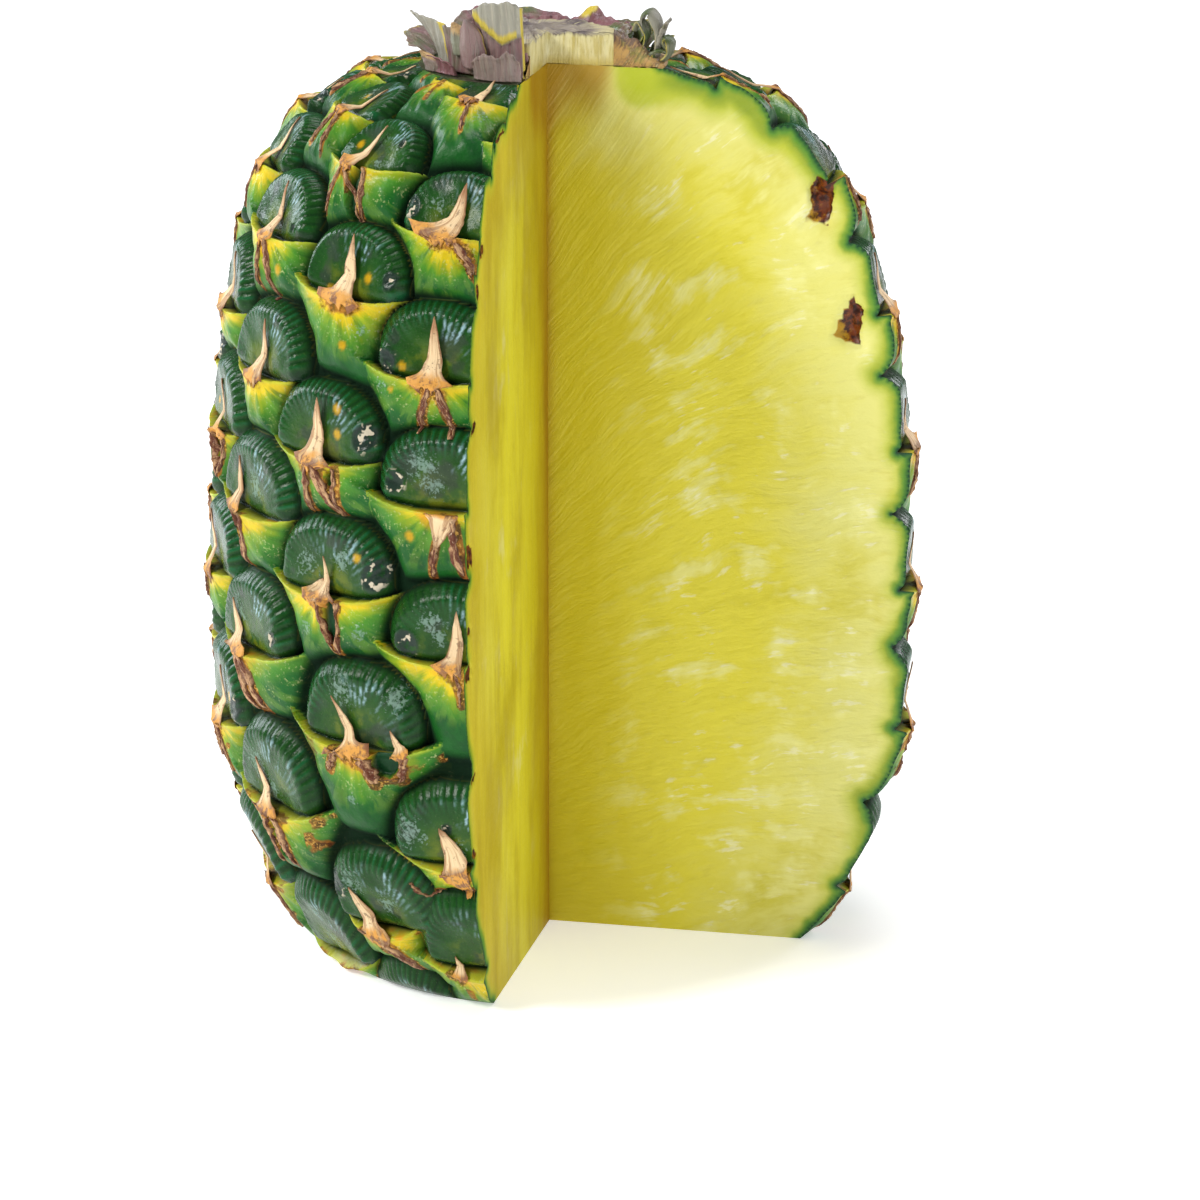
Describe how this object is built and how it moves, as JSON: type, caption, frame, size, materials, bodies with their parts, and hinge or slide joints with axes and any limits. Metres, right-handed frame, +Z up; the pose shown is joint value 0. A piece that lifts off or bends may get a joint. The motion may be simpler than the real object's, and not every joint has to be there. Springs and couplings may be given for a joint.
{
  "type": "pineapple",
  "caption": "Whole pineapple standing on its base, crown trimmed to stubs, with one quarter cut out from top to bottom and the flesh showing.",
  "frame": {"origin": "on the surface it stands on, under the middle of its outline", "axes": "+Z up along the fruit; the missing quarter is the one on the +X and -Y side, and -Y is the front"},
  "size_m": [0.1242, 0.1235, 0.1673],
  "materials": {
    "rind_skin": "gloss",
    "flesh": "satin",
    "dry_spike": "matte",
    "stem_flesh": "matte",
    "leaf_base": "satin"
  },
  "bodies": {
    "root": {"fruit": "rind_skin", "crown_stem": "stem_flesh", "leaf_base_01": "leaf_base", "leaf_base_02": "leaf_base", "leaf_base_03": "leaf_base", "leaf_base_04": "leaf_base", "leaf_base_05": "leaf_base", "leaf_base_06": "leaf_base", "leaf_base_07": "leaf_base", "leaf_base_08": "leaf_base", "leaf_base_09": "leaf_base", "leaf_base_10": "leaf_base", "leaf_base_11": "leaf_base", "leaf_base_12": "leaf_base", "leaf_base_13": "leaf_base", "leaf_base_14": "leaf_base", "leaf_base_15": "leaf_base", "leaf_base_16": "leaf_base", "leaf_base_17": "leaf_base"}
  },
  "joints": []
}
